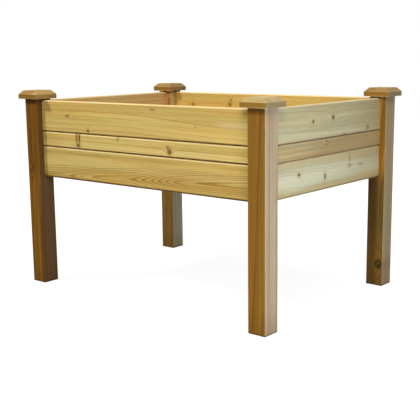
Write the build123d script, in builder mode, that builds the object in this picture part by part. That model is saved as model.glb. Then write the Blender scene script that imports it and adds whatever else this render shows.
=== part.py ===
"""Raised cedar planter: a board-walled box on four square corner legs.

The wall boards end in dovetail tails that slide down grooves in the legs, and a tongue on each board
goes into the board above. Chamfered caps, each on a dowel, close the grooves. Two ledgers screwed
inside the long walls carry a floor of spaced slats.
The origin is on the ground, under the middle of the planter. X runs along the long walls, the front
wall faces -Y, and Z is up. All sizes are in millimetres.
"""

import os

from build123d import *

# Overall sizes
LENGTH = 1219.0  # over the outer faces of the legs, along X
DEPTH = 880.0  # over the outer faces of the legs, along Y
HEIGHT = 804.0  # from the ground to the top of the caps

# Legs
LEG_SIZE = 73.0
LEG_EDGE_RADIUS = 3.0
FOOT_CHAMFER = 2.0

# Caps
CAP_SIZE = 110.0
CAP_THICKNESS = 34.0
CAP_CHAMFER = 16.0
CAP_CORNER_RADIUS = 1.5

# Dowels between the legs and the caps
DOWEL_DIAMETER = 12.0
DOWEL_LENGTH = 36.0
DOWEL_CHAMFER = 1.0

# Wall boards
BOARD_THICKNESS = 22.0
WIDE_BOARD_HEIGHT = 124.0
NARROW_BOARD_HEIGHT = 58.0
BOARD_GAP = 3.5  # between the edges of two boards, where the tongue keeps them apart
BOARD_EDGE_RADIUS = 5.0
BOARD_END_RADIUS = 2.0
WALL_TOP_DROP = 6.0  # from the underside of the caps down to the top of the walls

# Sliding dovetails between the boards and the legs
TAIL_LENGTH = 12.0
TAIL_ROOT_WIDTH = 11.0
TAIL_TIP_WIDTH = 15.0

# Tongues along the top edges of the lower boards
TONGUE_THICKNESS = 7.0
TONGUE_HEIGHT = 10.0

# Floor
LEDGER_SIZE = 38.0
LEDGER_EDGE_RADIUS = 2.0
LEDGER_INSET = 6.0  # from the bottom of the walls up to the bottom of the ledgers
SLAT_COUNT = 8
SLAT_THICKNESS = 22.0
SLAT_EDGE_RADIUS = 2.0
DRAIN_GAP = 6.5
SLAT_SCREW_INSET = 33.0  # from the long edges of a slat

# Wood screws
SCREW_DIAMETER = 4.2
SCREW_HEAD_DIAMETER = 8.4
SCREW_POINT_LENGTH = 7.0
SCREW_RECESS_WIDTH = 3.0
SCREW_RECESS_DEPTH = 2.0
SCREW_SINK = 0.5  # from the wood's surface down to the top of the head
SCREW_END_COVER = 10.0  # wood left in front of the point of a screw
COUNTERSINK_ANGLE = 90.0

# Clearances
FIT_CLEARANCE = 0.3  # board ends, tails, tongues, ledger ends and slat ends
HOLE_CLEARANCE = 0.15  # round a screw or a dowel

# Heights above the ground
LEG_HEIGHT = HEIGHT - CAP_THICKNESS
WALL_TOP = LEG_HEIGHT - WALL_TOP_DROP
TOP_COURSE = WALL_TOP - WIDE_BOARD_HEIGHT
MIDDLE_COURSE = TOP_COURSE - BOARD_GAP - NARROW_BOARD_HEIGHT
WALL_BOTTOM = MIDDLE_COURSE - BOARD_GAP - WIDE_BOARD_HEIGHT
GROOVE_END = WALL_BOTTOM + BOARD_EDGE_RADIUS
LEDGER_BOTTOM = WALL_BOTTOM + LEDGER_INSET
LEDGER_TOP = LEDGER_BOTTOM + LEDGER_SIZE
LEDGER_MIDDLE = LEDGER_BOTTOM + LEDGER_SIZE / 2
FLOOR_TOP = LEDGER_TOP + SLAT_THICKNESS

# Places in plan, as distances from the middle of the planter
LEG_X = (LENGTH - LEG_SIZE) / 2
LEG_Y = (DEPTH - LEG_SIZE) / 2
LEG_FACE_X = LEG_X - LEG_SIZE / 2
LEG_FACE_Y = LEG_Y - LEG_SIZE / 2
INSIDE_X = LEG_X - BOARD_THICKNESS / 2
INSIDE_Y = LEG_Y - BOARD_THICKNESS / 2
LEDGER_Y = INSIDE_Y - LEDGER_SIZE / 2
LEDGER_FACE_Y = INSIDE_Y - LEDGER_SIZE

# Floor layout, with equal gaps between the slats and beside the end walls
SLAT_WIDTH = (2 * INSIDE_X - (SLAT_COUNT + 1) * DRAIN_GAP) / SLAT_COUNT
SLAT_PITCH = SLAT_WIDTH + DRAIN_GAP
SLAT_LENGTH = 2 * (INSIDE_Y - FIT_CLEARANCE)
SLAT_X = [(i - (SLAT_COUNT - 1) / 2) * SLAT_PITCH for i in range(SLAT_COUNT)]
SLAT_SCREW_OFFSET = SLAT_WIDTH / 2 - SLAT_SCREW_INSET
SLAT_SCREW_X = [x + side * SLAT_SCREW_OFFSET for x in SLAT_X for side in (-1, 1)]
LEDGER_SCREW_X = [x + SLAT_PITCH / 2 for x in SLAT_X[:-1]]

# Screw sizes that follow from the wood they go through
SCREW_RADIUS = SCREW_DIAMETER / 2
SCREW_HEAD_RADIUS = SCREW_HEAD_DIAMETER / 2
SCREW_HOLE_RADIUS = SCREW_RADIUS + HOLE_CLEARANCE
COUNTERSINK_RADIUS = SCREW_HEAD_RADIUS + SCREW_SINK + HOLE_CLEARANCE
LEDGER_SCREW_DEPTH = LEDGER_SIZE + BOARD_THICKNESS - SCREW_END_COVER
SLAT_SCREW_DEPTH = SLAT_THICKNESS + LEDGER_SIZE - SCREW_END_COVER

CORNERS = {
    "front_left": (-1, -1),
    "front_right": (1, -1),
    "back_left": (-1, 1),
    "back_right": (1, 1),
}

# Each wall: its outward direction, the distance of its middle plane, and half its span between legs
WALLS = {
    "front": (Vector(0, -1, 0), LEG_Y, LEG_FACE_X),
    "back": (Vector(0, 1, 0), LEG_Y, LEG_FACE_X),
    "left": (Vector(-1, 0, 0), LEG_X, LEG_FACE_Y),
    "right": (Vector(1, 0, 0), LEG_X, LEG_FACE_Y),
}

# Each course of boards: its height and the level of its lower edge
COURSES = {
    "bottom": (WIDE_BOARD_HEIGHT, WALL_BOTTOM),
    "middle": (NARROW_BOARD_HEIGHT, MIDDLE_COURSE),
    "top": (WIDE_BOARD_HEIGHT, TOP_COURSE),
}


def write(piece, name):
    """Labels a finished piece and writes it as one STEP file."""
    piece.part.label = name
    export_step(piece.part, f"parts/{name}.step")


def dovetail(clearance):
    """Corners of a dovetail from the origin along local X, wider by the clearance on each side."""
    root = TAIL_ROOT_WIDTH / 2 + clearance
    tip = TAIL_TIP_WIDTH / 2 + clearance
    return [(0, -root), (TAIL_LENGTH, -tip), (TAIL_LENGTH, tip), (0, root)]


def make_leg(name, side_x, side_y):
    """A square leg with a stopped dovetail groove in each inner face and a dowel hole in its top."""
    centre = (side_x * LEG_X, side_y * LEG_Y)
    grooves = [
        Plane((side_x * LEG_FACE_X, centre[1], GROOVE_END), x_dir=(side_x, 0, 0), z_dir=(0, 0, 1)),
        Plane((centre[0], side_y * LEG_FACE_Y, GROOVE_END), x_dir=(0, side_y, 0), z_dir=(0, 0, 1)),
    ]
    with BuildPart() as leg:
        with BuildSketch():
            with Locations(centre):
                RectangleRounded(LEG_SIZE, LEG_SIZE, LEG_EDGE_RADIUS)
        extrude(amount=LEG_HEIGHT)
        chamfer(leg.faces().sort_by(Axis.Z)[0].edges(), FOOT_CHAMFER)
        for groove in grooves:
            with BuildSketch(groove):
                with BuildLine():
                    Polyline(*dovetail(FIT_CLEARANCE), close=True)
                make_face()
            extrude(amount=LEG_HEIGHT - GROOVE_END, mode=Mode.SUBTRACT)
        with Locations((*centre, LEG_HEIGHT)):
            Hole(DOWEL_DIAMETER / 2 + HOLE_CLEARANCE, depth=DOWEL_LENGTH / 2)
    write(leg, name)


def make_cap(name, side_x, side_y):
    """A square cap with a wide chamfer round its top and a dowel hole in its underside."""
    centre = (side_x * LEG_X, side_y * LEG_Y)
    with BuildPart() as cap:
        with BuildSketch(Plane.XY.offset(LEG_HEIGHT)):
            with Locations(centre):
                Rectangle(CAP_SIZE, CAP_SIZE)
        extrude(amount=CAP_THICKNESS)
        chamfer(cap.faces().sort_by(Axis.Z)[-1].edges(), CAP_CHAMFER)
        fillet(cap.edges().filter_by(Axis.Z), CAP_CORNER_RADIUS)
        with Locations(Plane((*centre, LEG_HEIGHT), z_dir=(0, 0, -1))):
            Hole(DOWEL_DIAMETER / 2 + HOLE_CLEARANCE, depth=DOWEL_LENGTH / 2)
    write(cap, name)


def make_dowels():
    """The dowels that hold the caps, half in the leg and half in the cap."""
    with BuildPart() as dowels:
        with Locations(*[(x * LEG_X, y * LEG_Y, LEG_HEIGHT) for x, y in CORNERS.values()]):
            Cylinder(DOWEL_DIAMETER / 2, DOWEL_LENGTH)
        chamfer(dowels.edges(), DOWEL_CHAMFER)
    write(dowels, "cap_dowels")


def make_board(wall, course):
    """A wall board with eased edges, a tongue, a groove and a dovetail tail on each end."""
    outward, distance, half_span = WALLS[wall]
    height, bottom = COURSES[course]
    along = Vector(0, 0, 1).cross(outward)
    half_length = half_span - FIT_CLEARANCE
    foot = outward * distance + Vector(0, 0, bottom)
    middle = foot + Vector(0, 0, height / 2)
    tail_foot = foot + Vector(0, 0, BOARD_EDGE_RADIUS)
    top = foot + Vector(0, 0, height)
    with BuildPart() as board:
        with BuildSketch(Plane(middle, x_dir=outward, z_dir=along)):
            RectangleRounded(BOARD_THICKNESS, height, BOARD_EDGE_RADIUS)
        extrude(amount=half_length, both=True)
        ends = board.faces().filter_by(Axis((0, 0, 0), along))
        fillet(ends.edges(), BOARD_END_RADIUS)
        if course != "top":
            with BuildSketch(Plane(top, x_dir=along, z_dir=(0, 0, 1))):
                Rectangle(2 * (half_length - BOARD_END_RADIUS), TONGUE_THICKNESS)
            extrude(amount=TONGUE_HEIGHT)
        if course != "bottom":
            with BuildSketch(Plane(foot, x_dir=along, z_dir=(0, 0, 1))):
                Rectangle(2 * half_length, TONGUE_THICKNESS + 2 * FIT_CLEARANCE)
            extrude(amount=TONGUE_HEIGHT - BOARD_GAP, mode=Mode.SUBTRACT)
        for way in (along, -along):
            with BuildSketch(Plane(tail_foot + way * half_length, x_dir=way, z_dir=(0, 0, 1))):
                with BuildLine():
                    Polyline(*dovetail(0), close=True)
                make_face()
            extrude(amount=height - 2 * BOARD_EDGE_RADIUS)
        if course == "bottom" and wall in ("front", "back"):
            with Locations(*ledger_screw_planes(outward.Y, INSIDE_Y)):
                Hole(SCREW_HOLE_RADIUS, depth=LEDGER_SCREW_DEPTH - LEDGER_SIZE)
    write(board, f"{wall}_board_{course}")


def ledger_screw_planes(side_y, distance):
    """Planes across the ledger screws on one side, facing the inside of the planter."""
    return [
        Plane((x, side_y * distance, LEDGER_MIDDLE), x_dir=(1, 0, 0), z_dir=(0, -side_y, 0))
        for x in LEDGER_SCREW_X
    ]


def make_ledger(name, side_y):
    """A square bar inside a long wall, drilled for its own screws and for those of the slats."""
    with BuildPart() as ledger:
        with BuildSketch(Plane.YZ):
            with Locations((side_y * LEDGER_Y, LEDGER_MIDDLE)):
                RectangleRounded(LEDGER_SIZE, LEDGER_SIZE, LEDGER_EDGE_RADIUS)
        extrude(amount=LEG_FACE_X - FIT_CLEARANCE, both=True)
        with Locations(*ledger_screw_planes(side_y, LEDGER_FACE_Y)):
            CounterSinkHole(
                SCREW_HOLE_RADIUS, COUNTERSINK_RADIUS, LEDGER_SIZE, COUNTERSINK_ANGLE
            )
        with Locations(*[(x, side_y * LEDGER_Y, LEDGER_TOP) for x in SLAT_SCREW_X]):
            Hole(SCREW_HOLE_RADIUS, depth=SLAT_SCREW_DEPTH - SLAT_THICKNESS)
    write(ledger, name)


def make_slat(number, centre_x):
    """A floor slat; those at the ends of the planter are notched round the legs."""
    notch_x = LEG_FACE_X - FIT_CLEARANCE
    notch_y = LEG_FACE_Y - FIT_CLEARANCE
    reach_x = abs(centre_x) + SLAT_WIDTH / 2
    side_x = 1 if centre_x > 0 else -1
    with BuildPart() as slat:
        with BuildSketch(Plane.XZ):
            with Locations((centre_x, LEDGER_TOP + SLAT_THICKNESS / 2)):
                RectangleRounded(SLAT_WIDTH, SLAT_THICKNESS, SLAT_EDGE_RADIUS)
        extrude(amount=SLAT_LENGTH / 2, both=True)
        if reach_x > notch_x:
            with BuildSketch(Plane.XY.offset(LEDGER_TOP)):
                for side_y in (-1, 1):
                    with Locations((side_x * LEG_X, side_y * LEG_Y)):
                        Rectangle(2 * (LEG_X - notch_x), 2 * (LEG_Y - notch_y))
            extrude(amount=SLAT_THICKNESS, mode=Mode.SUBTRACT)
        screw_x = [centre_x + side * SLAT_SCREW_OFFSET for side in (-1, 1)]
        with Locations(*[(x, side * LEDGER_Y, FLOOR_TOP) for x in screw_x for side in (-1, 1)]):
            CounterSinkHole(
                SCREW_HOLE_RADIUS, COUNTERSINK_RADIUS, SLAT_THICKNESS, COUNTERSINK_ANGLE
            )
    write(slat, f"floor_slat_{number}")


def make_screws(name, depth, planes):
    """A group of countersunk wood screws, driven into the given planes until they reach the depth."""
    neck = SCREW_HEAD_RADIUS - SCREW_RADIUS
    length = depth - HOLE_CLEARANCE - SCREW_SINK
    with BuildPart() as screw:
        with BuildSketch(Plane.XZ):
            with BuildLine():
                Polyline(
                    (0, 0),
                    (SCREW_HEAD_RADIUS, 0),
                    (SCREW_RADIUS, -neck),
                    (SCREW_RADIUS, SCREW_POINT_LENGTH - length),
                    (0, -length),
                    close=True,
                )
            make_face()
        revolve(axis=Axis.Z)
        with BuildSketch():
            Rectangle(SCREW_RECESS_WIDTH, SCREW_RECESS_WIDTH)
        extrude(amount=-SCREW_RECESS_DEPTH, mode=Mode.SUBTRACT)
    with BuildPart() as screws:
        with Locations(*[plane.offset(-SCREW_SINK) for plane in planes]):
            add(screw.part)
    write(screws, name)


os.makedirs("parts", exist_ok=True)

for corner, (side_x, side_y) in CORNERS.items():
    make_leg(f"leg_{corner}", side_x, side_y)
    make_cap(f"cap_{corner}", side_x, side_y)
make_dowels()

for wall in WALLS:
    for course in COURSES:
        make_board(wall, course)

make_ledger("floor_ledger_front", -1)
make_ledger("floor_ledger_back", 1)
for number, centre_x in enumerate(SLAT_X, start=1):
    make_slat(number, centre_x)

ledger_planes = ledger_screw_planes(-1, LEDGER_FACE_Y) + ledger_screw_planes(1, LEDGER_FACE_Y)
slat_planes = [Plane((x, side * LEDGER_Y, FLOOR_TOP)) for x in SLAT_SCREW_X for side in (-1, 1)]
make_screws("ledger_screws", LEDGER_SCREW_DEPTH, ledger_planes)
make_screws("slat_screws", SLAT_SCREW_DEPTH, slat_planes)
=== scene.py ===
"""Looks of the raised cedar planter: wood finishes, light, ground and camera."""

import math

import bpy
from mathutils import Matrix, Vector


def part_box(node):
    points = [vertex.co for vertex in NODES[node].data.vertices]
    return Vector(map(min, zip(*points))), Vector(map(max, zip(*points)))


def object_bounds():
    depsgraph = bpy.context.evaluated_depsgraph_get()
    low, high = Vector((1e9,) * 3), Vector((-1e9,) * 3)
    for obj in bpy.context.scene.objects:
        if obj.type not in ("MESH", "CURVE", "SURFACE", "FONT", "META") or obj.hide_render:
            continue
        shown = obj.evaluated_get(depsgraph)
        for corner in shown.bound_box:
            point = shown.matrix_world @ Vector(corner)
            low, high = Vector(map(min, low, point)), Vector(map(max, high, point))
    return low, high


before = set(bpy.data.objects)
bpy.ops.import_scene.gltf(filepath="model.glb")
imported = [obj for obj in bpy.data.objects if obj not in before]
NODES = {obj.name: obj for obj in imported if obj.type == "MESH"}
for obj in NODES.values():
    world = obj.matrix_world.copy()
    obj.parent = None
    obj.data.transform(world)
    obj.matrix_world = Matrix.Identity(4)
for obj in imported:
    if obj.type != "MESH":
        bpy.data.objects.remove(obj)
CAD_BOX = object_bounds()
AXES = {"X": 0, "Y": 1, "Z": 2}

# Camera, from the photograph: place in metres, angles in degrees, focal length in millimetres
CAMERA_PLACE = (2.2269, -2.6628, 0.9490)
CAMERA_AZIMUTH = 39.815
CAMERA_ELEVATION = 10.509
CAMERA_ROLL = -0.659
CAMERA_LENS = 72.937
SENSOR_WIDTH = 36.0

# Lamps: direction from the planter's middle, distance and size in metres, power in watts, colour
LAMPS = {
    "key": ((-0.52, -0.56, 0.65), 8.0, 0.8, 400.0, (1.0, 0.989, 0.883)),
    "front": ((0.44, -0.67, 0.60), 6.0, 2.5, 202.0, (0.989, 1.0, 0.912)),
    "top": ((0.05, 0.05, 1.00), 5.0, 2.5, 155.0, (0.968, 1.0, 0.981)),
    "side": ((0.90, -0.44, -0.03), 2.1, 0.8, 24.7, (0.716, 0.821, 1.0)),
    "back": ((-0.12, 0.97, 0.22), 6.0, 2.5, 152.0, (0.989, 1.0, 0.951)),
    "left": ((-0.97, 0.10, 0.12), 5.0, 2.0, 62.0, (0.962, 0.994, 1.0)),
}
AMBIENT_STRENGTH = 0.085
AMBIENT_COLOUR = (0.94, 0.97, 1.0)

# Ground: a grey disc that the camera sees glowing, a little less near the legs, where shadow falls
GROUND_RADIUS = 12.0
GROUND_SIDES = 96
GROUND_GREY = 0.12
GROUND_ROUGHNESS = 0.9
GROUND_GLOW_NEAR = 0.92
GROUND_GLOW_FAR = 1.0
GROUND_NEAR = 0.9
GROUND_FAR = 1.8

# Sizes of the pieces in metres that their boxes don't give
TONGUE_HEIGHT = 0.010  # of the tongue on top of a bottom or middle board
CAP_CHAMFER = 0.016
LEG_SKIN = 0.0366  # from a leg's middle out to the skin on its side, part sap wood and part painted light and shade
CAP_SKIN = 0.0545  # from a cap's middle out to the skin on its side, part sap wood and part painted light

# Strips along the boards' edges, for the painted highlight on their upper edges and the painted shade in
# the grooves and under the walls: widths in metres, and how far they go past the edges
HIGHLIGHT_STRIP = 0.0045
GROOVE_SHADE_STRIP = 0.0035
UNDER_SHADE_STRIP = 0.0070
TONGUE_STRIP = 0.0005  # from a board's upper edge up to where its tongue gets painted shade
PAST_EDGE = 0.060

# Noise in the wood: how often it repeats in a metre, along the grain, across the face and inward
FIBRE_NOISE = (22.0, 900.0, 900.0)
SWAY_NOISE = (1.3, 5.0, 5.0)
RIPPLE_NOISE = (14.0, 90.0, 90.0)
BAND_NOISE = (0.9, 16.0, 16.0)
STREAK_NOISE = (1.6, 75.0, 75.0)
HUE_NOISE = (2.2, 22.0, 22.0)
WAVE_NOISE = (3.0, 12.0, 12.0)
WEAR_AND_HIGHLIGHT_NOISE = (18.0, 60.0, 60.0)
RAGGED_NOISE = (150.0, 150.0, 60.0)
UNEVEN_NOISE = 90.0  # outward from the pith
FAINT_NOISE = 0.37  # from one ring to the next

# Where noise starts and stops to show
BAND_RANGE = (0.36, 0.68)
STREAK_RANGE = (0.40, 0.72)
HUE_RANGE = (0.32, 0.68)
FAINT_RANGE = (0.30, 0.70)
WEAR_AND_HIGHLIGHT_RANGE = (0.35, 0.70)

# Rings: where in a ring its dark part rises and falls, and how it lies over the colour below
LATE_RISE = (0.42, 0.86)
LATE_FALL = (1.0, 0.91)
LATE_SHOWS_THROUGH = 0.35
RIPPLE_HEIGHT = 0.0022  # of the small waves in the rings, in metres
FAR_RINGS = 0.25  # strength of the rings past their reach
REACH_FADE = 0.6  # share of the reach at which they start to fade
SEED_STEP = 7.3  # along the grain, between the woods of two pieces, in metres

# Knots: where their parts start and stop, in half sizes of the knot
KNOT_HEART = (1.25, 0.25)
KNOT_RIM = (0.55, 0.95)
KNOT_BARK = (1.45, 1.0)
KNOT_HALO = (3.0, 0.8)
HALO_SHARE = 0.35
RAGGED_SHARE = 0.7
PUSH_FALL = -0.12  # how fast a knot's push on the rings falls with the square of the distance

# Surface: pale long edges, part rubbed and part painted highlight; a skin on one side, part sap wood and
# part painted light and shade; end grain, raised grain and gloss
EDGE_WEAR_AND_HIGHLIGHT = 0.004  # width of the pale strip along a piece's long edges, part rubbed and part painted highlight, in metres
EDGE_INSET = 0.0005  # from the edge in to where it is palest, in metres
LEAST_WEAR_AND_HIGHLIGHT = 0.2
SKIN_BLEND = 0.002  # depth over which the skin starts, in metres
SKIN_STREAK = 0.45
END_FACING = (0.75, 0.95)
FRONT_FACING = (-0.50, -0.95)
FIBRE_SHADE = 0.5
LATE_HEIGHT = 0.35
FIBRE_HEIGHT = 0.6
BUMP_STRENGTH = 0.35
BUMP_DISTANCE = 0.0005
ROUGHNESS = 0.46
ROUGHNESS_CHANGE = 0.22
WARM_TINT = (1.05, 0.985, 0.90, 1.0)
COOL_TINT = (0.95, 1.01, 1.06, 1.0)
WHITE = (1.0, 1.0, 1.0, 1.0)
BLACK = (0.0, 0.0, 0.0, 1.0)

# Screws: patches in the plating
PLATING_NOISE = (260.0, 260.0, 260.0)
PLATING_RANGE = (0.35, 0.70)
PLATING_ROUGHNESS = 0.30
PLATING_ROUGHNESS_CHANGE = 0.25


def linear(red, green, blue):
    """A colour given as 0 to 255 on screen, as the linear values that shaders take."""
    shares = (value / 255 for value in (red, green, blue))
    return tuple(s / 12.92 if s <= 0.04045 else ((s + 0.055) / 1.055) ** 2.4 for s in shares) + (1.0,)


def between(first, second, share):
    """A colour part of the way from one colour to another."""
    return tuple(a + (b - a) * share for a, b in zip(first, second))


def tone(early, late, knot, gloss):
    """The colours of a wood: between the rings, in the rings, and in the knots."""
    early, late, knot = linear(*early), linear(*late), linear(*knot)
    return {
        "early": early,
        "band": between(early, late, 0.30),
        "streak": between(early, late, 0.55),
        "late": late,
        "halo": between(early, knot, 0.45),
        "knot": knot,
        "bark": between(knot, BLACK, 0.45),
        "pale": between(early, WHITE, 0.20),
        "gloss": gloss,
    }


def knot(along, across, half_length, half_width, heart=0.8, bark=0.7, push=1.6):
    """A knot in a face: where it is, how large, how dark its heart and bark are, how it moves the rings.

    A heart below 0 is paler than the wood instead.
    """
    return dict(along=along, across=across, half_length=half_length, half_width=half_width,
                heart=heart, bark=bark, push=push)


def zone(start, end, soft, wobble, shade, share, axis=None, front=False):
    """A strip of another colour: its edges, how soft and wavy they are, and its share of the colour.

    It lies across the face, or along an axis if one is given, and on every side or on the front alone.
    """
    return dict(start=start, end=end, soft=soft, wobble=wobble,
                shade=shade, share=share, axis=axis, front=front)


class Nodes:
    """Adds nodes to a shader tree. Each method returns the new node's output socket."""

    def __init__(self, owner):
        owner.use_nodes = True
        self.tree = owner.node_tree

    def set(self, socket, value):
        """Links a socket to another, or gives it a constant."""
        if isinstance(value, bpy.types.NodeSocket):
            self.tree.links.new(value, socket)
        else:
            socket.default_value = value

    def shade(self, **values):
        """Sets inputs of the main shader, with spaces in their names as underscores."""
        shader = self.tree.nodes["Principled BSDF"]
        for name, value in values.items():
            self.set(shader.inputs[name.replace("_", " ")], value)

    def add(self, kind, inputs, output=0, **settings):
        """Adds a node with the given settings, and its inputs by place or by name."""
        node = self.tree.nodes.new("ShaderNode" + kind)
        for name, value in settings.items():
            setattr(node, name, value)
        for key, value in inputs.items():
            self.set(node.inputs[key], value)
        return node.outputs[output]

    def math(self, operation, *values):
        """Adds a math node."""
        return self.add("Math", dict(enumerate(values)), operation=operation)

    def step(self, value, start, end, low=0.0, high=1.0):
        """Goes smoothly from low to high as value goes from start to end."""
        inputs = {"Value": value, "From Min": start, "From Max": end, "To Min": low, "To Max": high}
        return self.add("MapRange", inputs, interpolation_type="SMOOTHSTEP")

    def split(self, vector):
        """The three parts of a vector or colour."""
        node = self.tree.nodes.new("ShaderNodeSeparateXYZ")
        self.set(node.inputs[0], vector)
        return tuple(node.outputs)

    def noise(self, vector, scale, detail=2.0, output="Fac"):
        """Noise at a scale given for each axis."""
        scaled = self.add("VectorMath", {0: vector, 1: scale}, operation="MULTIPLY")
        return self.add("TexNoise", {"Vector": scaled, "Scale": 1.0, "Detail": detail}, output)

    def noise_along(self, value, scale, detail=2.0):
        """Noise that depends on one value only."""
        scaled = self.math("MULTIPLY", value, scale)
        inputs = {"W": scaled, "Scale": 1.0, "Detail": detail}
        return self.add("TexNoise", inputs, "Fac", noise_dimensions="1D")

    def mix(self, factor, first, second, blend="MIX"):
        """Mixes two colours."""
        inputs = {0: factor, 6: first, 7: second}
        return self.add("Mix", inputs, 2, data_type="RGBA", blend_type=blend)

    def length(self, x, y):
        """The length of a vector with two parts."""
        square = self.math("ADD", self.math("MULTIPLY", x, x), self.math("MULTIPLY", y, y))
        return self.math("SQRT", square)


class Wood(Nodes):
    """Solid wood: growth rings round a pith beside the piece, streaks, fibres, knots, and long edges made
    paler, part rubbed and part painted highlight.
    """

    def __init__(self, name, node, grain, face, colours, centre=None, half=None, seed=0.0):
        self.material = bpy.data.materials.new(name)
        super().__init__(self.material)
        self.colours = colours
        self.grain, self.face = AXES[grain], AXES[face]
        self.depth = 3 - self.grain - self.face
        low, high = (Vector(corner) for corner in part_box(node))
        self.half = Vector(half) if half else (high - low) / 2
        middle = Vector(centre) if centre else (low + high) / 2
        place = self.add("TexCoord", {}, "Object")
        self.far = self.split(place)
        self.facing = self.split(self.add("TexCoord", {}, "Normal"))
        self.near = self.split(self.add("VectorMath", {0: place, 1: middle}, operation="SUBTRACT"))
        self.along, self.across, self.inward = (self.near[i] for i in (self.grain, self.face, self.depth))
        shifted = self.math("ADD", self.along, seed * SEED_STEP)
        self.point = self.add("CombineXYZ", {0: shifted, 1: self.across, 2: self.inward})
        self.fibre = self.noise(self.point, FIBRE_NOISE)

    def ring_radius(self, pith, taper, lean, wander):
        """Distance from the pith, which leans and wanders beside the piece."""
        sway = self.split(self.noise(self.point, SWAY_NOISE, 1.0, "Color"))
        sway_across = self.math("MULTIPLY_ADD", sway[0], 2 * wander, -pith[0] - wander)
        sway_inward = self.math("MULTIPLY_ADD", sway[1], 2 * wander, -pith[1] - wander)
        leaned = self.math("MULTIPLY_ADD", self.along, -lean, sway_across)
        from_pith_across = self.math("ADD", self.across, leaned)
        from_pith_inward = self.math("ADD", self.inward, sway_inward)
        radius = self.length(from_pith_across, from_pith_inward)
        radius = self.math("MULTIPLY_ADD", self.along, taper, radius)
        ripple = self.noise(self.point, RIPPLE_NOISE)
        return self.math("MULTIPLY_ADD", ripple, RIPPLE_HEIGHT, radius)

    def add_tips(self, radius, tips, spacing):
        """Brings one more ring to the face from each given place to the next, which forms arches."""
        for start, end in zip(tips, tips[1:]):
            inputs = {"Value": self.far[self.grain], "From Min": start, "From Max": end}
            radius = self.math("MULTIPLY_ADD", self.add("MapRange", inputs), -spacing, radius)
        return radius

    def knot_distance(self, one):
        """Distance from a knot's middle, where 1 is its outline."""
        along = self.math("SUBTRACT", self.far[self.grain], one["along"])
        across = self.math("SUBTRACT", self.far[self.face], one["across"])
        return self.length(self.math("DIVIDE", along, one["half_length"]),
                           self.math("DIVIDE", across, one["half_width"]))

    def push_rings(self, radius, distance, one):
        """Moves the rings aside round a knot."""
        square = self.math("MULTIPLY", distance, distance)
        fall = self.math("EXPONENT", self.math("MULTIPLY", square, PUSH_FALL))
        return self.math("MULTIPLY_ADD", fall, one["push"] * one["half_width"], radius)

    def late_wood(self, radius, spacing, strength, uneven, faintest):
        """High in the dark part of each ring, less so in faint rings."""
        shifts = self.math("MULTIPLY_ADD", self.noise_along(radius, UNEVEN_NOISE), uneven, -uneven / 2)
        phase = self.math("ADD", self.math("DIVIDE", radius, spacing), shifts)
        position = self.math("FRACT", phase)
        late = self.math("MULTIPLY", self.step(position, *LATE_RISE), self.step(position, *LATE_FALL))
        weight = self.noise_along(self.math("FLOOR", phase), FAINT_NOISE)
        weight = self.step(weight, *FAINT_RANGE, faintest, 1.0)
        return self.math("MULTIPLY", self.math("MULTIPLY", late, weight), strength)

    def ground_colour(self, streak):
        """The wood's colour without rings: wide bands, streaks and slow changes of hue."""
        band = self.step(self.noise(self.point, BAND_NOISE), *BAND_RANGE)
        colour = self.mix(band, self.colours["early"], self.colours["band"])
        colour = self.mix(streak, colour, self.colours["streak"])
        hue = self.step(self.noise(self.point, HUE_NOISE), *HUE_RANGE)
        return self.mix(1.0, colour, self.mix(hue, WARM_TINT, COOL_TINT), "MULTIPLY")

    def paint_zone(self, colour, one):
        """Lays a strip of another colour over the wood."""
        waves = self.noise(self.point, WAVE_NOISE)
        shift = self.math("MULTIPLY_ADD", waves, 2 * one["wobble"], -one["wobble"])
        place = self.far[AXES[one["axis"]] if one["axis"] else self.face]
        level = self.math("ADD", place, shift)
        rise = self.step(level, one["start"] - one["soft"], one["start"] + one["soft"])
        fall = self.step(level, one["end"] + one["soft"], one["end"] - one["soft"], 0.0, one["share"])
        cover = self.math("MULTIPLY", rise, fall)
        if one["front"]:
            cover = self.math("MULTIPLY", cover, self.step(self.facing[AXES["Y"]], *FRONT_FACING))
        return self.mix(cover, colour, one["shade"])

    def paint_skin(self, colour, streak, axis, level, shade, share):
        """Covers one side of the piece with a skin of another colour, part sap wood and part painted light
        and shade.
        """
        cover = self.step(self.near[AXES[axis]], level - SKIN_BLEND, level, 0.0, share)
        plain = linear(*shade)
        skin_colour = self.mix(streak, plain, between(plain, self.colours["streak"], SKIN_STREAK))
        return self.mix(cover, colour, skin_colour)

    def paint_knot(self, colour, distance, one):
        """Lays a knot's halo, heart and bark over the wood's colour."""
        colours = self.colours
        heart = self.step(distance, *KNOT_HEART, 0.0, abs(one["heart"]))
        inner = self.step(distance, *KNOT_RIM)
        outer = self.step(distance, *KNOT_BARK, 0.0, one["bark"])
        halo = self.step(distance, *KNOT_HALO, 0.0, HALO_SHARE * max(one["heart"], one["bark"]))
        colour = self.mix(halo, colour, colours["halo"])
        colour = self.mix(heart, colour, colours["knot"] if one["heart"] > 0 else colours["pale"])
        return self.mix(self.math("MULTIPLY", inner, outer), colour, colours["bark"])

    def wear_and_highlight_edges(self, colour, share):
        """Makes the long edges paler in patches, part rubbed wood and part painted highlight."""
        rims = []
        for axis, value in ((self.face, self.across), (self.depth, self.inward)):
            reach = self.half[axis]
            rims.append(self.step(self.math("ABSOLUTE", value), reach - EDGE_WEAR_AND_HIGHLIGHT, reach - EDGE_INSET))
        patchy = self.step(self.noise(self.point, WEAR_AND_HIGHLIGHT_NOISE), *WEAR_AND_HIGHLIGHT_RANGE, LEAST_WEAR_AND_HIGHLIGHT * share, share)
        pale = self.math("MULTIPLY", self.math("MULTIPLY", rims[0], rims[1]), patchy)
        return self.mix(pale, colour, self.colours["pale"])

    def darken_ends(self, colour, share):
        """Makes the end grain darker."""
        end = self.step(self.math("ABSOLUTE", self.facing[self.grain]), *END_FACING, 0.0, share)
        return self.mix(end, colour, self.colours["late"])

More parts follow.
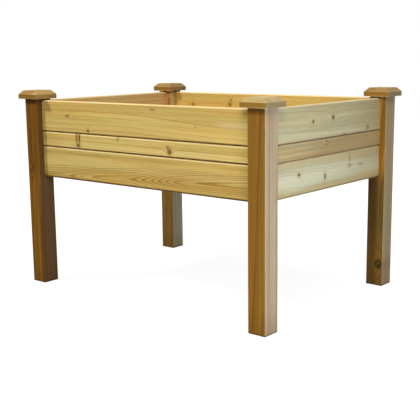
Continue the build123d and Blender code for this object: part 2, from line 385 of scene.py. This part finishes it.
    def finish(self, colour, late):
        """Puts the colour, the gloss and the raised grain on the shader."""
        raised_fibre = self.math("MULTIPLY", self.fibre, FIBRE_HEIGHT)
        height = self.math("MULTIPLY_ADD", late, LATE_HEIGHT, raised_fibre)
        bump = self.add("Bump", {"Strength": BUMP_STRENGTH, "Distance": BUMP_DISTANCE, "Height": height})
        rough = self.math("MULTIPLY_ADD", self.fibre, ROUGHNESS_CHANGE, ROUGHNESS)
        gloss = self.colours["gloss"]
        self.shade(Base_Color=colour, Roughness=rough, Specular_IOR_Level=gloss, Normal=bump)


def make_wood(name, node, grain, face, colours, centre=None, half=None, seed=0.0,
              pith=(0.02, 0.06), spacing=0.0034, taper=0.0, lean=0.0, wander=0.010,
              uneven=3.0, faintest=0.08, contrast=1.0, reach=1.0, streaks=0.45,
              tips=(), knots=(), zones=(), skin=None, overlays=(), wear_and_highlight=0.75, ends=0.45):
    """A wood material for one piece.

    The pith is given from the piece's middle, across the face and inward. The rings have a spacing,
    a taper, a lean and a wander, and grow faint past their reach. Zones lie under the skin, which is
    part sap wood and part painted light and shade, and overlays lie over it.
    """
    wood = Wood(name, node, grain, face, colours, centre, half, seed)
    radius = wood.ring_radius(pith, taper, lean, wander)
    strength = wood.step(radius, reach, REACH_FADE * reach, FAR_RINGS * contrast, contrast)
    radius = wood.add_tips(radius, tips, spacing)
    ragged = wood.noise(wood.point, RAGGED_NOISE)
    ragged = wood.math("MULTIPLY_ADD", ragged, RAGGED_SHARE, -RAGGED_SHARE / 2)
    distances = []
    for one in knots:
        distance = wood.knot_distance(one)
        radius = wood.push_rings(radius, distance, one)
        distances.append(wood.math("ADD", distance, ragged))
    late = wood.late_wood(radius, spacing, strength, uneven, faintest)
    streak = wood.step(wood.noise(wood.point, STREAK_NOISE, 3.0), *STREAK_RANGE, 0.0, streaks)
    colour = wood.ground_colour(streak)
    for one in zones:
        colour = wood.paint_zone(colour, one)
    if skin:
        colour = wood.paint_skin(colour, streak, *skin)
    for one in overlays:
        colour = wood.paint_zone(colour, one)
    colour = wood.mix(late, colour, wood.mix(LATE_SHOWS_THROUGH, colours["late"], colour))
    fine = wood.math("MULTIPLY_ADD", wood.fibre, FIBRE_SHADE, 1.0 - FIBRE_SHADE / 2)
    colour = wood.mix(1.0, colour, wood.add("CombineXYZ", {0: fine, 1: fine, 2: fine}), "MULTIPLY")
    for distance, one in zip(distances, knots):
        colour = wood.paint_knot(colour, distance, one)
    colour = wood.wear_and_highlight_edges(colour, wear_and_highlight)
    colour = wood.darken_ends(colour, ends)
    wood.finish(colour, late)
    return wood.material


FRONT_TONE = tone((209, 181, 107), (154, 110, 42), (104, 59, 3), 0.10)
LOW_FRONT_TONE = tone((200, 171, 98), (138, 92, 33), (104, 59, 3), 0.10)
PALE_TONE = tone((199, 189, 147), (146, 121, 77), (100, 61, 11), 0.30)
TAN_TONE = tone((194, 173, 125), (139, 105, 60), (100, 59, 15), 0.30)
INSIDE_TONE = tone((204, 174, 99), (148, 105, 43), (98, 53, 6), 0.25)
LEFT_TONE = tone((220, 190, 138), (162, 124, 79), (92, 49, 15), 0.25)
LEG_TONE = tone((147, 105, 39), (92, 57, 16), (60, 32, 9), 0.06)
DARK_LEG_TONE = tone((139, 94, 24), (66, 38, 6), (50, 26, 8), 0.06)
GREY_LEG_TONE = tone((142, 107, 47), (90, 57, 20), (34, 19, 5), 0.06)
LIGHT_LEG_TONE = tone((156, 119, 54), (108, 73, 27), (70, 38, 11), 0.06)
PALE_CAP_TONE = tone((176, 154, 105), (134, 103, 56), (90, 53, 20), 0.12)
CAP_TONE = tone((154, 123, 69), (112, 78, 34), (90, 53, 20), 0.12)
DARK_CAP_TONE = tone((147, 117, 67), (106, 74, 33), (90, 53, 20), 0.12)
DOWEL_TONE = tone((214, 178, 119), (178, 134, 76), (120, 76, 34), 0.30)
# Painted highlight for the boards' upper edges, painted shade for the grooves, and a dark colour for the
# lowest edges: painted shade under the walls and darker feet on the legs
PAINTED_EDGE_HIGHLIGHT = linear(228, 203, 153)
GROOVE_SHADE = linear(112, 63, 2)
DARK_LOW_EDGE = linear(70, 43, 6)
BRIGHT_STEEL = linear(196, 196, 190)
DULL_STEEL = linear(158, 156, 148)


def dress(node, material):
    """Gives a node one material all over."""
    slots = NODES[node].data.materials
    slots.clear()
    slots.append(material)


def board_edges(course, bottom, top, highlight_share, edge_shade_share):
    """Strips along a board's eased edges: a painted highlight at the top, and painted shade in the grooves
    and under the wall's lowest edge.
    """
    strips = [zone(top - HIGHLIGHT_STRIP, top + PAST_EDGE, 0.0015, 0.0, PAINTED_EDGE_HIGHLIGHT, highlight_share)]
    # Painted shade in the groove, laid on the tongue
    if course != "top":
        strips.append(zone(top + TONGUE_STRIP, top + PAST_EDGE, 0.0005, 0.0, GROOVE_SHADE, edge_shade_share))
    # Painted shade along the board's lower eased edge
    strips.append(zone(bottom - PAST_EDGE, bottom + GROOVE_SHADE_STRIP, 0.0015, 0.0, GROOVE_SHADE, 0.9 * edge_shade_share))
    # More painted shade under the wall's lowest edge
    if course == "bottom":
        strips.append(zone(bottom - PAST_EDGE, bottom + UNDER_SHADE_STRIP, 0.0020, 0.0, DARK_LOW_EDGE, edge_shade_share))
    return tuple(strips)


def make_wall(wall, grain, figures, seed, highlight_share=0.55, edge_shade_share=0.95):
    """The three boards of a wall, each with its own tone and figure, and how strong the painted highlight
    on their edges and the painted shade in their grooves are.
    """
    for course, (colours, figure) in figures.items():
        node = f"{wall}_board_{course}"
        low, high = (Vector(corner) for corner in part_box(node))
        if course != "top":
            high.z -= TONGUE_HEIGHT
        zones = figure.get("zones", ()) + board_edges(course, low.z, high.z, highlight_share, edge_shade_share)
        figure = dict(figure, zones=zones, centre=(low + high) / 2, half=(high - low) / 2, seed=seed)
        dress(node, make_wood(f"cedar_{node}", node, grain, "Z", colours, **figure))
        seed += 1.0


def make_front_wall():
    """The front wall. The knots' places are along the wall and above the ground."""
    top = dict(pith=(-0.16, 0.10), spacing=0.0052, taper=0.006, contrast=0.85, streaks=0.6, knots=(
        knot(-0.383, 0.706, 0.011, 0.005, 0.9, 0.0, 0.5),
        knot(-0.358, 0.703, 0.019, 0.007, -0.2, 0.2, 1.0),
        knot(-0.262, 0.653, 0.007, 0.008, 1.0, 0.0, 0.6),
        knot(0.085, 0.746, 0.010, 0.003, 0.6, 0.3),
        knot(0.292, 0.713, 0.002, 0.002, 0.6, 0.2),
        knot(0.290, 0.693, 0.003, 0.002, 0.8, 0.3),
        knot(0.480, 0.704, 0.120, 0.014, -0.4, 0.0, 1.6),
    ), zones=(
        zone(0.722, 0.780, 0.010, 0.008, linear(184, 151, 85), 0.25),
        zone(0.600, 0.680, 0.012, 0.008, linear(232, 205, 129), 0.32),
    ))
    middle = dict(pith=(-0.09, 0.07), spacing=0.0046, taper=0.010, contrast=0.95, streaks=0.6, knots=(
        knot(-0.3300, 0.622, 0.0068, 0.034, 0.85, 0.0, 0.0),
        knot(-0.3145, 0.622, 0.0062, 0.034, 1.00, 0.0, 0.0),
        knot(-0.3220, 0.592, 0.0100, 0.008, 1.00, 0.0, 0.2),
        knot(0.166, 0.598, 0.010, 0.010, 1.0, 0.5, 1.0),
        knot(0.157, 0.613, 0.009, 0.008, 0.60, 0.0, 0.6),
        knot(-0.098, 0.628, 0.005, 0.007, 0.5, 0.3),
        knot(-0.516, 0.608, 0.0018, 0.024, 0.7, 0.0, 0.2),
    ), zones=(
        zone(0.570, 0.605, 0.006, 0.006, linear(234, 211, 140), 0.42),
        # Painted shade: the left end darker beside the leg
        zone(-0.600, -0.440, 0.080, 0.020, linear(160, 112, 36), 0.25, "X"),
    ))
    tips = (-0.560, -0.377, -0.311, -0.230, -0.018, 0.027, 0.073, 0.113, 0.144, 0.188, 0.300, 0.640)
    bottom = dict(pith=(-0.0305, 0.0001), spacing=0.0065, lean=0.045, wander=0.0015, uneven=0.8,
                  faintest=0.45, contrast=1.5, reach=0.055, streaks=0.8, tips=tips,
                  zones=(zone(0.503, 0.542, 0.008, 0.008, linear(230, 209, 137), 0.27),))
    make_wall("front", "X", {
        "top": (FRONT_TONE, top), "middle": (FRONT_TONE, middle), "bottom": (LOW_FRONT_TONE, bottom),
    }, 1.0)


def make_right_wall():
    """The right wall, paler, with more knots, and painted shade that makes it darker towards the back."""
    top = dict(pith=(-0.14, 0.06), spacing=0.0068, taper=0.03, faintest=0.15, contrast=1.1, knots=(
        knot(-0.118, 0.704, 0.008, 0.007, 1.0, 0.0, 1.3),
        knot(0.016, 0.711, 0.009, 0.012, 1.0, 0.0, 1.3),
        knot(0.270, 0.657, 0.009, 0.012, 0.7, 0.0, 0.8),
        knot(0.097, 0.643, 0.009, 0.003, 0.8),
        knot(0.062, 0.694, 0.050, 0.010, 0.0, 0.0, 1.6),
    ), zones=(
        zone(0.724, 0.780, 0.008, 0.006, linear(179, 161, 118), 0.5),
        # Painted shade: darker towards the back end
        zone(0.220, 0.600, 0.160, 0.020, linear(165, 137, 86), 0.45, "Y"),
    ))
    middle = dict(pith=(0.12, -0.03), taper=0.010, contrast=1.0, streaks=0.8, knots=(
        knot(-0.042, 0.625, 0.010, 0.004, -0.5, 0.0, 0.4),
        knot(-0.024, 0.622, 0.007, 0.006, -0.5, 1.0),
    # Painted shade: darker towards the back end
    ), zones=(zone(-0.100, 0.600, 0.090, 0.030, linear(158, 125, 70), 0.6, "Y"),))
    bottom = dict(pith=(-0.15, -0.06), spacing=0.0048, taper=0.02, contrast=0.5, knots=(
        knot(-0.205, 0.524, 0.009, 0.007, 1.0, 0.0, 0.7),
        knot(-0.035, 0.499, 0.007, 0.013, 1.0, 0.0, 0.6),
        knot(0.140, 0.522, 0.014, 0.005, 0.65, 0.0, 0.6),
        knot(0.218, 0.519, 0.016, 0.005, 0.55, 0.0, 0.6),
        knot(0.137, 0.546, 0.0034, 0.024, 0.65, 0.0, 0.2),
    ), zones=(
        zone(0.486, 0.538, 0.024, 0.022, linear(222, 213, 180), 0.65),
        zone(0.548, 0.590, 0.012, 0.010, linear(190, 158, 106), 0.40),
        zone(0.430, 0.472, 0.010, 0.018, linear(185, 151, 91), 0.6),
        # Painted shade: darker towards the back end
        zone(0.200, 0.600, 0.140, 0.020, linear(170, 146, 95), 0.38, "Y"),
    ))
    make_wall("right", "Y", {
        "top": (PALE_TONE, top), "middle": (TAN_TONE, middle), "bottom": (PALE_TONE, bottom),
    }, 4.0, highlight_share=0.05, edge_shade_share=0.50)


def make_far_walls():
    """The back and left walls, of which the inner faces show over the front."""
    middle = dict(pith=(0.09, 0.05), taper=0.015, contrast=0.7)
    bottom = dict(pith=(-0.02, 0.03), taper=-0.04, contrast=0.8, knots=(knot(-0.215, 0.526, 0.011, 0.009),))
    top = dict(pith=(-0.10, 0.08), taper=0.012, contrast=0.7)
    back_knots = (knot(-0.417, 0.709, 0.010, 0.008, 0.7, 0.2), knot(-0.195, 0.714, 0.011, 0.010, 0.8, 0.2),
                  knot(-0.189, 0.733, 0.006, 0.005, 0.6, 0.2))
    # Painted shadow of the back-left leg and its cap on the wall beside them; the second strip makes the
    # right end darker
    back_zones = (zone(-0.600, -0.508, 0.012, 0.0, linear(172, 119, 29), 0.55, "X"),
                  zone(0.300, 0.700, 0.120, 0.0, linear(176, 140, 65), 0.40, "X"))
    left_knots = (knot(0.105, 0.678, 0.010, 0.007), knot(-0.260, 0.691, 0.008, 0.006))
    make_wall("back", "X", {
        "top": (INSIDE_TONE, dict(top, knots=back_knots, zones=back_zones)),
        "middle": (INSIDE_TONE, middle), "bottom": (INSIDE_TONE, bottom),
    }, 7.0)
    make_wall("left", "Y", {
        "top": (LEFT_TONE, dict(top, knots=left_knots, contrast=1.1, streaks=0.8)),
        "middle": (LEFT_TONE, middle), "bottom": (LEFT_TONE, bottom),
    }, 10.0)


def make_legs():
    """The legs, with upright grain, a skin on the sides that face +X that is part sap wood and part painted
    light and shade, darker feet, and painted light and shadow on the back legs.
    """
    foot = (zone(-0.100, 0.050, 0.060, 0.010, DARK_LOW_EDGE, 0.24, "Z"),
            zone(-0.010, 0.006, 0.003, 0.0, DARK_LOW_EDGE, 0.60, "Z"))
    # Each leg: tone, skin colour, skin share and marks. The skin on the +X side is paler with painted light
    # on three legs, and darker with painted shade on the front-left one.
    looks = {
        "front_left": (DARK_LEG_TONE, (84, 72, 61), 0.66, dict(
            spacing=0.0050, contrast=1.8, streaks=0.9, knots=(knot(0.488, -0.580, 0.014, 0.004, 0.9, 0.3),),
            overlays=foot + (zone(0.460, 0.900, 0.030, 0.0, linear(106, 67, 14), 0.52, "Z"),))),
        "front_right": (LEG_TONE, (189, 166, 133), 0.92, dict(contrast=0.9, streaks=0.75)),
        "back_left": (LIGHT_LEG_TONE, (220, 203, 164), 0.88, dict(
            contrast=1.0, streaks=0.75, zones=(
                # Painted light: the upper part paler than the shaded part below
                zone(0.655, 0.900, 0.060, 0.0, linear(232, 178, 99), 0.7, "Z"),))),
        "back_right": (GREY_LEG_TONE, (186, 165, 128), 0.85, dict(
            contrast=1.0, streaks=0.75, knots=(
                knot(0.090, 0.591, 0.017, 0.013, 0.70, 0.8),
                knot(0.083, 0.593, 0.008, 0.007, 1.00, 0.0, 0.2),
            ), zones=(
                # Painted shadow of the box: the inner half and the lower part of the front face darker
                zone(0.520, 0.578, 0.010, 0.002, linear(60, 42, 18), 0.75, front=True),
                zone(0.200, 0.445, 0.080, 0.0, linear(60, 42, 18), 0.45, "Z", True),
                zone(-0.200, 0.200, 0.120, 0.0, linear(112, 81, 33), 0.35, "Z", True),
                # Painted light: the upper part paler
                zone(0.460, 0.900, 0.050, 0.0, linear(188, 124, 33), 0.45, "Z")))),
    }
    seed = 20.0
    for corner, (colours, shade, share, marks) in looks.items():
        leg = f"leg_{corner}"
        figure = dict(seed=seed, pith=(0.05, 0.16), spacing=0.0030, taper=0.01, wander=0.006,
                      skin=("X", LEG_SKIN, shade, share), overlays=foot, wear_and_highlight=0.15)
        figure.update(marks)
        dress(leg, make_wood(f"cedar_{leg}", leg, "Z", "X", colours, **figure))
        seed += 1.0


def make_caps():
    """The caps, with level grain and a darker upright band, and the dowels under them."""
    seed = 20.5
    low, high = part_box("cap_front_left")
    band = zone(low[2], high[2] - CAP_CHAMFER, 0.0008, 0.0, linear(132, 92, 20), 0.90)
    # Painted light: the front-left cap's chamfer on the +X side made paler
    painted_light_chamfer = zone(-0.537, -0.500, 0.003, 0.0, linear(204, 174, 113), 0.33, "X")
    looks = {
        "front_left": (CAP_TONE, (160, 130, 74), (painted_light_chamfer, band)),
        "front_right": (PALE_CAP_TONE, (146, 133, 98), (band,)),
        "back_left": (DARK_CAP_TONE, (150, 125, 78), (band,)),
        "back_right": (DARK_CAP_TONE, (153, 139, 104), (band,)),
    }
    for corner, (colours, shade, zones) in looks.items():
        cap = f"cap_{corner}"
        # The skin on the +X side is part sap wood and part painted light
        figure = dict(seed=seed, pith=(-0.05, 0.02), spacing=0.0030, taper=0.02, wander=0.006,
                      contrast=0.8, zones=zones, skin=("X", CAP_SKIN, shade, 0.85), ends=0.15)
        dress(cap, make_wood(f"cedar_{cap}", cap, "X", "Z", colours, **figure))
        seed += 1.0
    dowels = "cap_dowels"
    dress(dowels, make_wood("cedar_dowels", dowels, "Z", "X", DOWEL_TONE, seed=seed, spacing=0.0015))


def make_floor():
    """The floor's slats and ledgers."""
    seed = 40.0
    slat = dict(pith=(0.03, 0.06), taper=0.02)
    ledger = dict(pith=(0.06, 0.05))
    for name in sorted(NODES):
        if name.startswith("floor_slat"):
            dress(name, make_wood(f"cedar_{name}", name, "Y", "X", INSIDE_TONE, seed=seed, **slat))
        if name.startswith("floor_ledger"):
            dress(name, make_wood(f"cedar_{name}", name, "X", "Z", INSIDE_TONE, seed=seed, **ledger))
        seed += 1.0


def make_screws():
    """Zinc-plated steel, a little dull in patches."""
    material = bpy.data.materials.new("steel_zinc")
    nodes = Nodes(material)
    place = nodes.add("TexCoord", {}, "Object")
    dull = nodes.step(nodes.noise(place, PLATING_NOISE, 3.0), *PLATING_RANGE)
    colour = nodes.mix(dull, BRIGHT_STEEL, DULL_STEEL)
    rough = nodes.math("MULTIPLY_ADD", dull, PLATING_ROUGHNESS_CHANGE, PLATING_ROUGHNESS)
    nodes.shade(Base_Color=colour, Roughness=rough, Metallic=1.0)
    dress("ledger_screws", material)
    dress("slat_screws", material)


def make_lamp(name, direction, distance, size, power, colour):
    """A square soft lamp that faces the planter's middle."""
    middle = sum((Vector(corner) for corner in CAD_BOX), Vector()) / 2
    lamp_data = bpy.data.lights.new(name, "AREA")
    lamp_data.size = size
    lamp_data.energy = power
    lamp_data.color = colour
    lamp = bpy.data.objects.new(name, lamp_data)
    lamp.visible_camera = False
    way = Vector(direction).normalized()
    lamp.location = middle + way * distance
    lamp.rotation_euler = way.to_track_quat("Z", "Y").to_euler()
    bpy.context.scene.collection.objects.link(lamp)


def seen_directly(nodes):
    """1 for rays from the camera, and for reflected and refracted rays."""
    path = nodes.tree.nodes.new("ShaderNodeLightPath").outputs
    seen = nodes.math("MAXIMUM", path["Is Camera Ray"], path["Is Glossy Ray"])
    return nodes.math("MAXIMUM", seen, path["Is Transmission Ray"])


def make_world():
    """Soft light from all round, and a white background."""
    world = bpy.data.worlds.new("studio")
    bpy.context.scene.world = world
    nodes = Nodes(world)
    soft = nodes.tree.nodes["Background"]
    soft.inputs[0].default_value = AMBIENT_COLOUR + (1.0,)
    soft.inputs[1].default_value = AMBIENT_STRENGTH
    white = nodes.add("Background", {0: WHITE, 1: 1.0})
    mixed = nodes.add("MixShader", {0: seen_directly(nodes), 1: soft.outputs[0], 2: white})
    nodes.set(nodes.tree.nodes["World Output"].inputs["Surface"], mixed)


def make_ground():
    """A white floor that keeps a soft shadow."""
    bpy.ops.mesh.primitive_circle_add(vertices=GROUND_SIDES, radius=GROUND_RADIUS, fill_type="NGON")
    ground = bpy.context.object
    ground.name = "ground"
    material = bpy.data.materials.new("ground_white")
    nodes = Nodes(material)
    place = nodes.add("TexCoord", {}, "Object")
    distance = nodes.add("VectorMath", {0: place}, "Value", operation="LENGTH")
    glow = nodes.step(distance, GROUND_NEAR, GROUND_FAR, GROUND_GLOW_NEAR, GROUND_GLOW_FAR)
    nodes.shade(Base_Color=(GROUND_GREY, GROUND_GREY, GROUND_GREY, 1.0), Roughness=GROUND_ROUGHNESS,
                Specular_IOR_Level=0.0, Emission_Color=WHITE,
                Emission_Strength=nodes.math("MULTIPLY", seen_directly(nodes), glow))
    ground.data.materials.append(material)


def make_camera():
    """A camera at the photograph's place, looking the way that it looked."""
    azimuth, elevation, roll = (math.radians(a) for a in (CAMERA_AZIMUTH, CAMERA_ELEVATION, CAMERA_ROLL))
    level = Vector((math.sin(azimuth), -math.cos(azimuth), 0.0)) * math.cos(elevation)
    back = level + Vector((0.0, 0.0, math.sin(elevation)))
    right = Vector((math.cos(azimuth), math.sin(azimuth), 0.0))
    turn = Matrix((right, back.cross(right), back)).transposed() @ Matrix.Rotation(roll, 3, "Z")
    camera_data = bpy.data.cameras.new("camera")
    camera_data.lens = CAMERA_LENS
    camera_data.sensor_width = SENSOR_WIDTH
    camera = bpy.data.objects.new("camera", camera_data)
    camera.matrix_world = Matrix.Translation(CAMERA_PLACE) @ turn.to_4x4()
    bpy.context.scene.collection.objects.link(camera)
    bpy.context.scene.camera = camera


make_front_wall()
make_right_wall()
make_far_walls()
make_legs()
make_caps()
make_floor()
make_screws()
for lamp_name, settings in LAMPS.items():
    make_lamp(lamp_name, *settings)
make_world()
make_ground()
make_camera()
bpy.context.scene.view_settings.view_transform = "Standard"
